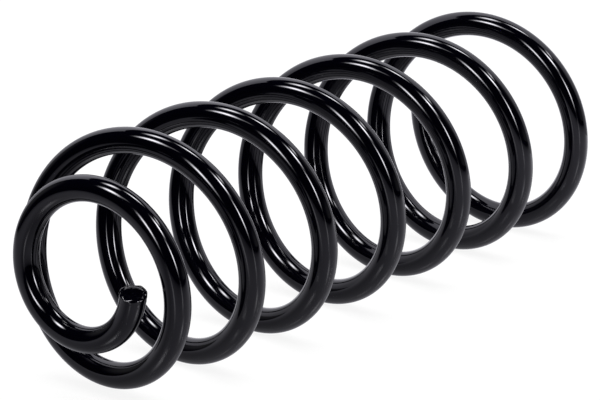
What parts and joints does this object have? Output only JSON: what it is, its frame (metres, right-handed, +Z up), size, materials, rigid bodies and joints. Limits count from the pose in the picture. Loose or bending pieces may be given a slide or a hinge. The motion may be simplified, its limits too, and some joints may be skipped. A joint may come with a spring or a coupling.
{
  "type": "coil spring",
  "caption": "Open-coil helical compression spring of black-painted round steel bar, with one end drawn in to a flat pigtail and the other left open and sheared square.",
  "frame": {"origin": "middle of the bounding box, on the floor that the spring lies on", "axes": "+X along the coil's axis, from the pigtail end to the open end; +Z up; the coil is rolled so that its centre of mass hangs straight below its axis"},
  "size_m": [0.3728, 0.126, 0.1259],
  "materials": {
    "black_paint": "gloss"
  },
  "bodies": {
    "root": {"coil_spring": "black_paint"}
  },
  "joints": []
}
